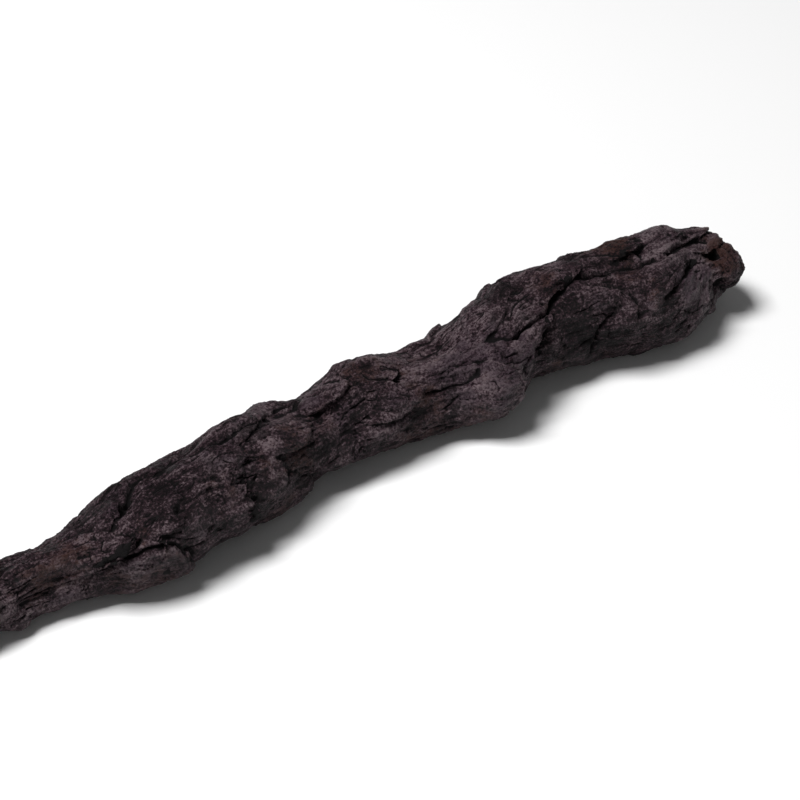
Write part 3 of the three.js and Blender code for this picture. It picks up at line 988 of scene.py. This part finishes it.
def line_mesh(name, rows):
    """Smooth lines over the unrolled skin, in millimetres.

    A line lies the further above the skin, and so marks it the less, the smaller its share is.
    """
    points = []
    edges = []
    for line in rows:
        spots = [Vector((station, math.radians(angle) * MIDDLE_RADIUS,
                         LINE_HALF_WIDTH * math.sqrt(-math.log(share)))) for station, angle, share in line]
        spots = [spots[0] * 2 - spots[1]] + spots + [spots[-1] * 2 - spots[-2]]
        first = len(points)
        for before, start, end, after in zip(spots, spots[1:], spots[2:], spots[3:]):
            leaving = start + (end - before) / 6
            arriving = end - (after - start) / 6
            points.extend(interpolate_bezier(start, leaving, arriving, end, LINE_BEND_POINTS)[:-1])
        points.append(spots[-2])
        edges.extend((index, index + 1) for index in range(first, len(points) - 1))
    mesh = bpy.data.meshes.new(name)
    mesh.from_pydata(points, edges, [])
    return bpy.data.objects.new(name, mesh)


def plan_mesh(plan):
    """A mesh of one point for each scale leaf, which carries the leaf's fields."""
    mesh = bpy.data.meshes.new("Leaf plan")
    mesh.from_pydata([(row[0] * MM, 0, 0) for row in plan], [], [])
    for index, name in enumerate(LEAF_FIELDS):
        field = mesh.attributes.new(name, "FLOAT", "POINT")
        field.data.foreach_set("value", [row[index] for row in plan])
    return mesh


def grow(name, mesh, tree, values, voxel=None):
    """Run a Geometry Nodes tree on an object, fused first if a voxel is given, and keep the result."""
    piece = bpy.data.objects.new(name, mesh)
    bpy.context.scene.collection.objects.link(piece)
    if voxel is not None:
        fuse = piece.modifiers.new("Fuse", "REMESH")
        fuse.mode = "VOXEL"
        fuse.voxel_size = voxel
    modifier = piece.modifiers.new("Grow", "NODES")
    modifier.node_group = tree
    for item in tree.interface.items_tree:
        if item.in_out == "INPUT" and item.name in values:
            modifier[item.identifier] = values[item.name]
    depsgraph = bpy.context.evaluated_depsgraph_get()
    result = bpy.data.meshes.new_from_object(
        piece.evaluated_get(depsgraph), preserve_all_data_layers=True, depsgraph=depsgraph)
    piece.modifiers.clear()
    piece.data = result
    result.name = name
    return piece


def discard(piece):
    """Remove a form that has been grown into another."""
    mesh = piece.data
    bpy.data.objects.remove(piece)
    bpy.data.meshes.remove(mesh)


def part_off(mesh, name, low, high):
    """A closed stretch of a mesh between two stations; None leaves an end as it is."""
    work = bmesh.new()
    work.from_mesh(mesh)
    for station, way in ((low, -1), (high, 1)):
        if station is None:
            continue
        everything = work.verts[:] + work.edges[:] + work.faces[:]
        wall = ((station - LENGTH / 2) * MM, 0, 0)
        cut = bmesh.ops.bisect_plane(
            work, geom=everything, plane_co=wall, plane_no=(way, 0, 0), clear_outer=True)
        open_edges = [part for part in cut["geom_cut"] if isinstance(part, bmesh.types.BMEdge)]
        filled = bmesh.ops.holes_fill(work, edges=open_edges, sides=0)
        bmesh.ops.triangulate(work, faces=filled["faces"])
    stretch = bpy.data.meshes.new(name)
    work.to_mesh(stretch)
    work.free()
    for material in mesh.materials:
        stretch.materials.append(material)
    facing = [0.0] * (3 * len(stretch.vertices))
    stretch.attributes["facing"].data.foreach_get("vector", facing)
    stretch.attributes.remove(stretch.attributes["facing"])
    stretch.shade_smooth()
    stretch.normals_split_custom_set_from_vertices(
        [Vector(facing[index:index + 3]).normalized() for index in range(0, len(facing), 3)])
    piece = bpy.data.objects.new(name, stretch)
    bpy.context.scene.collection.objects.link(piece)
    return piece


def declare(piece):
    """A finished piece rides on the body and stands for the plain solid."""
    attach(piece, BODY)
    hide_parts(STEM_NODE)


def bare_material(name):
    """A material with no nodes yet, and the graph that builds them."""
    material = bpy.data.materials.new(name)
    material.use_nodes = True
    material.node_tree.nodes.clear()
    return material, Graph(material.node_tree)


def finish(graph, colour, roughness, height, depth, strength=1.0, specular=0.5):
    """The shader that ends a material, with its bumps' depth in millimetres."""
    bump = graph.add("ShaderNodeBump", sockets={
        "Strength": strength, "Distance": depth * MM, "Height": height})["Normal"]
    shader = graph.add("ShaderNodeBsdfPrincipled", sockets={
        "Base Color": colour, "Roughness": roughness, "Specular IOR Level": specular, "Normal": bump})
    graph.add("ShaderNodeOutputMaterial", sockets={"Surface": shader["BSDF"]})


def skin_material(colours):
    """Dried flesh: dark, waxy and fine-grained, with browner patches, paler ridges that are partly worn and
    partly painted light, painted shade in its hollows, pits, furrows and underside, and painted glints.
    """
    material, graph = bare_material("Dried flesh")
    spot = graph.scaled(graph.add("ShaderNodeTexCoord")["Object"], 1 / MM)
    hollow_near, hollow_wide, hollow_broad, to_margin, pale, warm, purple, furrow, pale_rim_and_highlight = [
        graph.add("ShaderNodeAttribute", {"attribute_name": name})["Fac"] for name in SKIN_MARKS]
    grain = graph.add("ShaderNodeAttribute", {"attribute_name": "grain"})["Vector"]
    across, along, own = graph.parts(grain)
    broad = graph.noise(spot, 12.0, detail=3.0)
    patches = graph.noise(spot, 5.5, detail=4.0, roughness=0.62)
    mottle = graph.noise(spot, 1.6, detail=5.0, roughness=0.75)
    lengthwise = graph.noise(
        graph.point(across, along * 0.3, own + 7), 1.3, detail=5.0, roughness=0.75)
    grit = graph.noise(spot, 0.42, detail=3.0, roughness=0.75)
    streak = graph.noise(graph.point(across, along * 0.12, own), 0.75, detail=3.0, roughness=0.65)

    # Painted shade: hollows and furrows darken the tone where shade falls, and ridges lighten it a little as
    # painted light.
    painted_hollow_shade = hollow_near * 2.6 + hollow_wide * 1.3 + hollow_broad * 0.4 + furrow * 0.35
    painted_hollow_shade = painted_hollow_shade.most(-RIDGE_LIGHT)
    tone = TONE_MIDDLE + patches * 0.8 + mottle * 0.85 + lengthwise * 1.05 + streak * 0.6 + grit * 1.8
    # Painted light and shade: the pale mark brightens the upper side and darkens the lower flank, partly as
    # the skin's own tone, and the raised rims are lightened, partly their own paler colour and partly
    # painted highlight.
    tone = tone - painted_hollow_shade + (pale + purple * 0.4) * 0.16 + pale_rim_and_highlight * 0.3
    tone = tone - (tone - BRIGHT_TONE).most(0) * BRIGHT_EASE
    stops = zip(TONE_STOPS, (colours.crevice, colours.shadow, colours.skin, colours.bloom, colours.dust))
    base = graph.add("ShaderNodeValToRGB", {"stops": list(stops)}, {"Fac": tone * TONE_SCALE})["Color"]
    slate = (graph.noise(spot, 7.5, detail=3.0, roughness=0.6) - mottle * 0.3 - warm * 0.5).fade(0.02, 0.4)
    base = graph.tint(base, slate * tone.fade(0.2, 0.7) * 0.6, colours.slate)
    ruddy = (broad + mottle * 0.8 + streak * 0.4 + warm * 0.6).fade(0.15, 0.7)
    base = graph.tint(base, ruddy * tone.fade(0.05, 0.7) * 0.85, colours.reddish)
    violet = graph.noise(spot, 4.2, detail=3.0, roughness=0.6) + mottle * 0.5 - warm + purple * 0.5
    base = graph.tint(base, violet.fade(0.05, 0.5) * tone.fade(0.2, 0.8) * 0.55, colours.violet)
    rim = (1 - to_margin.fade(0.05, 0.5)) * (patches + mottle - painted_hollow_shade).fade(0.1, 0.7)
    base = graph.tint(base, rim * 0.4, colours.rim)
    # Painted shade: the deepest hollows are tinted towards the crevice shade colour.
    pit_shade = (painted_hollow_shade - mottle * 0.15).fade(0.2, 0.6)
    base = graph.tint(base, pit_shade * 0.9, colours.crevice)
    # Painted glints: sparse pale specks, partly dust and partly painted highlight.
    glint = graph.noise(spot, 0.4, detail=1.0).fade(0.42, 0.56) * (patches + pale * 0.3).fade(-0.2, 0.3)
    base = graph.tint(base, glint * (1 - pit_shade) * 0.4, colours.dust)

    sleek = (graph.noise(spot, 6.0, detail=3.0) + pale * 0.3).fade(0.0, 0.4)
    roughness = 0.54 - sleek * 0.14 + mottle * 0.15 + pit_shade * 0.3 - glint * 0.2
    fine = graph.noise(spot, 0.8, detail=5.0, roughness=0.85)
    wrinkle = graph.noise(graph.point(across, along * 0.35, own), 0.6, detail=3.0, roughness=0.6)
    height = fine * 1.2 + wrinkle * 0.8 + grit * 0.4
    finish(graph, base, roughness, height, depth=0.5, specular=0.22)
    return material


def cut_material(colours):
    """The cut base: a dull, fibrous face with a loose ring of paler strands."""
    material, graph = bare_material("Cut face")
    spot = graph.scaled(graph.add("ShaderNodeTexCoord")["Object"], 1 / MM)
    _, across, up = graph.parts(spot)
    middle_across = AXIS[0][SIDEWAYS] + WIDTH_MIDDLE
    middle_up = AXIS[0][HEIGHT] - PRESSED_DEPTH
    out = ((across - middle_across) ** 2 + (up - middle_up) ** 2) ** 0.5
    strands = graph.noise(spot, 0.9)
    ring = (1 - (out + strands * 0.8 - RING_RADIUS).abs().fade(0.2, 0.8)) * strands.fade(-0.1, 0.3)
    fibre = graph.noise(spot, 0.35, detail=3.0)
    base = graph.tint((*colours.shadow, 1), fibre * 0.5 + 0.5, colours.cut)
    base = graph.tint(base, ring * 0.7, colours.rim)
    finish(graph, base, 0.8, fibre + strands, depth=0.15, strength=0.8)
    return material


def plain_material(name, colour, roughness):
    material = bpy.data.materials.new(name)
    material.use_nodes = True
    shader = material.node_tree.nodes["Principled BSDF"]
    shader.inputs["Base Color"].default_value = (*colour, 1)
    shader.inputs["Roughness"].default_value = roughness
    return material


def stem_point(station, angle, radius):
    """A point near the tip, in metres, for pieces that are shaped in Python."""
    turn = math.radians(angle)
    _, side, up = AXIS[-2]
    return Vector(((station - LENGTH / 2) * MM,
                   (side + WIDTH_MIDDLE - radius * math.sin(turn)) * MM,
                   (up - PRESSED_DEPTH + FLATNESS * radius * math.cos(turn)) * MM))


def in_mm(length):
    """A length that the user sets, kept in metres, in millimetres."""
    return round(length / MM, 6)


class StemSizes(bpy.types.PropertyGroup):
    """Sizes of the stem's forms and fine relief."""

    rings: IntProperty(
        name="Rings", description="Sections of the flesh from the base to the tip", default=400)
    sides: IntProperty(name="Sides", description="Points round each section", default=151)
    leaf_rows: IntProperty(name="Leaf rows", description="Faces along a scale leaf", default=44)
    leaf_columns: IntProperty(name="Leaf columns", description="Faces across a scale leaf", default=24)
    leaf_thickness: FloatProperty(
        name="Leaf thickness", description="Thickness of a scale leaf", default=0.85 * MM,
        unit="LENGTH", precision=5)
    rib_height: FloatProperty(
        name="Rib height", description="Height of a scale leaf's ribs", default=0.35 * MM,
        unit="LENGTH", precision=5)
    voxel: FloatProperty(
        name="Voxel", description="Fineness of the fused skin", default=0.21 * MM,
        unit="LENGTH", precision=5)
    furrow_depth: FloatProperty(
        name="Furrow depth", description="Depth of the long furrows", default=1.1 * MM,
        unit="LENGTH", precision=5)
    dent_depth: FloatProperty(
        name="Dent depth", description="Depth of the dents in the skin", default=0.26 * MM,
        unit="LENGTH", precision=5)
    fold_height: FloatProperty(
        name="Fold height", description="Height of the long folds", default=0.2 * MM,
        unit="LENGTH", precision=5)
    crease_depth: FloatProperty(
        name="Crease depth", description="Depth of the sharp creases", default=0.6 * MM,
        unit="LENGTH", precision=5)
    crumple_height: FloatProperty(
        name="Crumple height", description="Height of the fine crumpling", default=0.16 * MM,
        unit="LENGTH", precision=5)


class StemColours(bpy.types.PropertyGroup):
    """Colours of the dried stem."""

    # Painted shade at the bottom of pits and gaps, and the darkest stop of the tone.
    crevice: FloatVectorProperty(
        name="Crevice", description="The bottom of pits and gaps", subtype="COLOR",
        default=(0.0035, 0.002, 0.0026))
    shadow: FloatVectorProperty(
        name="Shadow", description="The darkest flesh", subtype="COLOR", default=(0.0095, 0.005, 0.0066))
    skin: FloatVectorProperty(
        name="Skin", description="The plain dried skin", subtype="COLOR", default=(0.030, 0.0148, 0.0198))
    reddish: FloatVectorProperty(
        name="Reddish", description="Browner patches", subtype="COLOR", default=(0.062, 0.027, 0.0205))
    violet: FloatVectorProperty(
        name="Violet", description="Purple-grey patches", subtype="COLOR", default=(0.054, 0.035, 0.049))
    bloom: FloatVectorProperty(
        name="Bloom", description="Paler worn ridges", subtype="COLOR", default=(0.076, 0.046, 0.057))
    slate: FloatVectorProperty(
        name="Slate", description="Greyer, cooler patches", subtype="COLOR", default=(0.028, 0.0235, 0.0245))
    rim: FloatVectorProperty(
        name="Rim", description="Thin leaf margins", subtype="COLOR", default=(0.085, 0.050, 0.040))
    # Fine pale specks, partly dust and partly painted glints, and the brightest stop of the tone.
    dust: FloatVectorProperty(
        name="Dust", description="Fine pale specks", subtype="COLOR", default=(0.25, 0.19, 0.205))
    cut: FloatVectorProperty(
        name="Cut face", description="The cut base", subtype="COLOR", default=(0.060, 0.040, 0.032))
    floor: FloatVectorProperty(
        name="Floor", description="The floor", subtype="COLOR", default=(0.86, 0.86, 0.86))


class CISTANCHE_OT_flesh(bpy.types.Operator):
    """Grow the body of the stem"""

    bl_idname = "cistanche.flesh"
    bl_label = "Grow the flesh"

    def execute(self, context):
        sizes = context.scene.stem_sizes
        grow("flesh", bpy.data.meshes.new("Seed"), fleshy_tree(), {
            "Rings": sizes.rings, "Sides": sizes.sides, "Fold height": in_mm(sizes.fold_height)})
        return {"FINISHED"}


class CISTANCHE_OT_scales(bpy.types.Operator):
    """Grow the scale leaves"""

    bl_idname = "cistanche.scales"
    bl_label = "Grow the scale leaves"

    def execute(self, context):
        sizes = context.scene.stem_sizes
        template = leaf_template(sizes.leaf_rows, sizes.leaf_columns)
        grow("scales", plan_mesh(plan_leaves()), leafy_tree(), {
            "Template": template, "Thickness": in_mm(sizes.leaf_thickness),
            "Rib height": in_mm(sizes.rib_height)})
        discard(template)
        return {"FINISHED"}


class CISTANCHE_OT_bud(bpy.types.Operator):
    """Shape the dried bud at the tip"""

    bl_idname = "cistanche.bud"
    bl_label = "Shape the bud"

    def execute(self, context):
        work = bmesh.new()
        bmesh.ops.create_icosphere(work, subdivisions=BUD_FINENESS, radius=BUD_RADIUS * MM)
        for vertex in work.verts:
            way = vertex.co.normalized()
            vertex.co *= 1 + noise.fractal(way * BUD_LUMPS, *BUD_NOISE) * BUD_LUMP_HEIGHT
        mesh = bpy.data.meshes.new("bud")
        work.to_mesh(mesh)
        work.free()
        mesh.transform(Matrix.Translation(stem_point(BUD_STATION, BUD_ANGLE, BUD_REACH)))
        grain = mesh.attributes.new("grain", "FLOAT_VECTOR", "POINT")
        grain.data.foreach_set("vector", [part for vertex in mesh.vertices for part in vertex.co / MM])
        margin = mesh.attributes.new("to_margin", "FLOAT", "POINT")
        margin.data.foreach_set("value", [BUD_MARGIN] * len(mesh.vertices))
        context.scene.collection.objects.link(bpy.data.objects.new("bud", mesh))
        return {"FINISHED"}


class CISTANCHE_OT_skin(bpy.types.Operator):
    """Fuse what has grown into one skin, weather it, and part it into closed stretches"""

    bl_idname = "cistanche.skin"
    bl_label = "Fuse and weather the skin"

    def execute(self, context):
        sizes = context.scene.stem_sizes
        colours = context.scene.stem_colours
        forms = {name: bpy.data.objects[name] for name in GROWN_FORMS}
        furrow_lines = line_mesh("Furrow lines", FURROWS)
        rim_lines = line_mesh("Rim lines", RIMS)
        joined = grow("joined", bpy.data.meshes.new("Seed"), joined_tree(), forms)
        skin = grow("skin", joined.data.copy(), weathered_tree(), {
            "Grown": joined, "Furrow lines": furrow_lines, "Rim lines": rim_lines,
            "Furrow depth": in_mm(sizes.furrow_depth), "Dent depth": in_mm(sizes.dent_depth),
            "Fold height": in_mm(sizes.fold_height), "Crease depth": in_mm(sizes.crease_depth),
            "Crumple height": in_mm(sizes.crumple_height),
            "Flesh": skin_material(colours), "Cut face": cut_material(colours)}, sizes.voxel)
        for name, low, high in STRETCHES:
            declare(part_off(skin.data, name, low, high))
        for form in (*forms.values(), furrow_lines, rim_lines, joined, skin):
            discard(form)
        return {"FINISHED"}


class CISTANCHE_OT_stage(bpy.types.Operator):
    """Set up the floor, the soft light and the camera"""

    bl_idname = "cistanche.stage"
    bl_label = "Set the stage"

    def execute(self, context):
        scene = context.scene
        far = FLOOR_HALF
        corners = [(-far, -far, 0), (far, -far, 0), (far, far, 0), (-far, far, 0)]
        mesh = bpy.data.meshes.new("floor")
        mesh.from_pydata(corners, [], [range(len(corners))])
        mesh.materials.append(plain_material("Floor", scene.stem_colours.floor, FLOOR_ROUGHNESS))
        floor = bpy.data.objects.new("floor", mesh)
        scene.collection.objects.link(floor)

        world = bpy.data.worlds.new("Studio")
        world.use_nodes = True
        sky = world.node_tree.nodes["Background"]
        sky.inputs["Color"].default_value = (1, 1, 1, 1)
        sky.inputs["Strength"].default_value = ROOM_LIGHT
        scene.world = world
        scene.view_settings.view_transform = "Standard"
        for name, spot, size, power in LIGHTS:
            area_light(scene, name, spot, size, power)

        camera = bpy.data.cameras.new("camera")
        camera.lens = LENS
        camera.sensor_width = SENSOR_WIDTH
        camera.clip_start = NEAREST_VIEW
        holder = bpy.data.objects.new("camera", camera)
        azimuth, elevation = math.radians(VIEW_AZIMUTH), math.radians(VIEW_ELEVATION)
        back = Vector((math.sin(azimuth) * math.cos(elevation),
                       -math.cos(azimuth) * math.cos(elevation), math.sin(elevation)))
        holder.location = Vector(VIEW_TARGET) + back * VIEW_DISTANCE
        holder.rotation_euler = (-back).to_track_quat("-Z", "Y").to_euler()
        scene.collection.objects.link(holder)
        scene.camera = holder
        return {"FINISHED"}


def area_light(scene, name, spot, size, power):
    """A square soft light that shines on the middle of the stem."""
    light = bpy.data.lights.new(name, "AREA")
    light.size = size
    light.energy = power
    holder = bpy.data.objects.new(name, light)
    holder.location = spot
    holder.rotation_euler = (-Vector(spot)).to_track_quat("-Z", "Y").to_euler()
    scene.collection.objects.link(holder)


class CISTANCHE_PT_parts(bpy.types.Panel):
    """The stem's pieces, sizes and colours"""

    bl_idname = "CISTANCHE_PT_parts"
    bl_label = "Dried cistanche stem"
    bl_space_type = "VIEW_3D"
    bl_region_type = "UI"
    bl_category = "Cistanche"

    def draw(self, context):
        for operator in STEPS:
            self.layout.operator(operator)
        for group in (context.scene.stem_sizes, context.scene.stem_colours):
            box = self.layout.box()
            for name in group.bl_rna.properties.keys():
                if name not in ("rna_type", "name"):
                    box.prop(group, name)


STEPS = ("cistanche.stage", "cistanche.flesh", "cistanche.scales", "cistanche.bud", "cistanche.skin")
CLASSES = (StemSizes, StemColours, CISTANCHE_OT_flesh, CISTANCHE_OT_scales, CISTANCHE_OT_bud,
           CISTANCHE_OT_skin, CISTANCHE_OT_stage, CISTANCHE_PT_parts)


def register():
    for kind in CLASSES:
        bpy.utils.register_class(kind)
    bpy.types.Scene.stem_sizes = PointerProperty(type=StemSizes)
    bpy.types.Scene.stem_colours = PointerProperty(type=StemColours)


def unregister():
    del bpy.types.Scene.stem_sizes
    del bpy.types.Scene.stem_colours
    for kind in reversed(CLASSES):
        bpy.utils.unregister_class(kind)


def main():
    register()
    bpy.ops.cistanche.stage()
    bpy.ops.cistanche.flesh()
    bpy.ops.cistanche.scales()
    bpy.ops.cistanche.bud()
    bpy.ops.cistanche.skin()


if __name__ == "__main__":
    main()
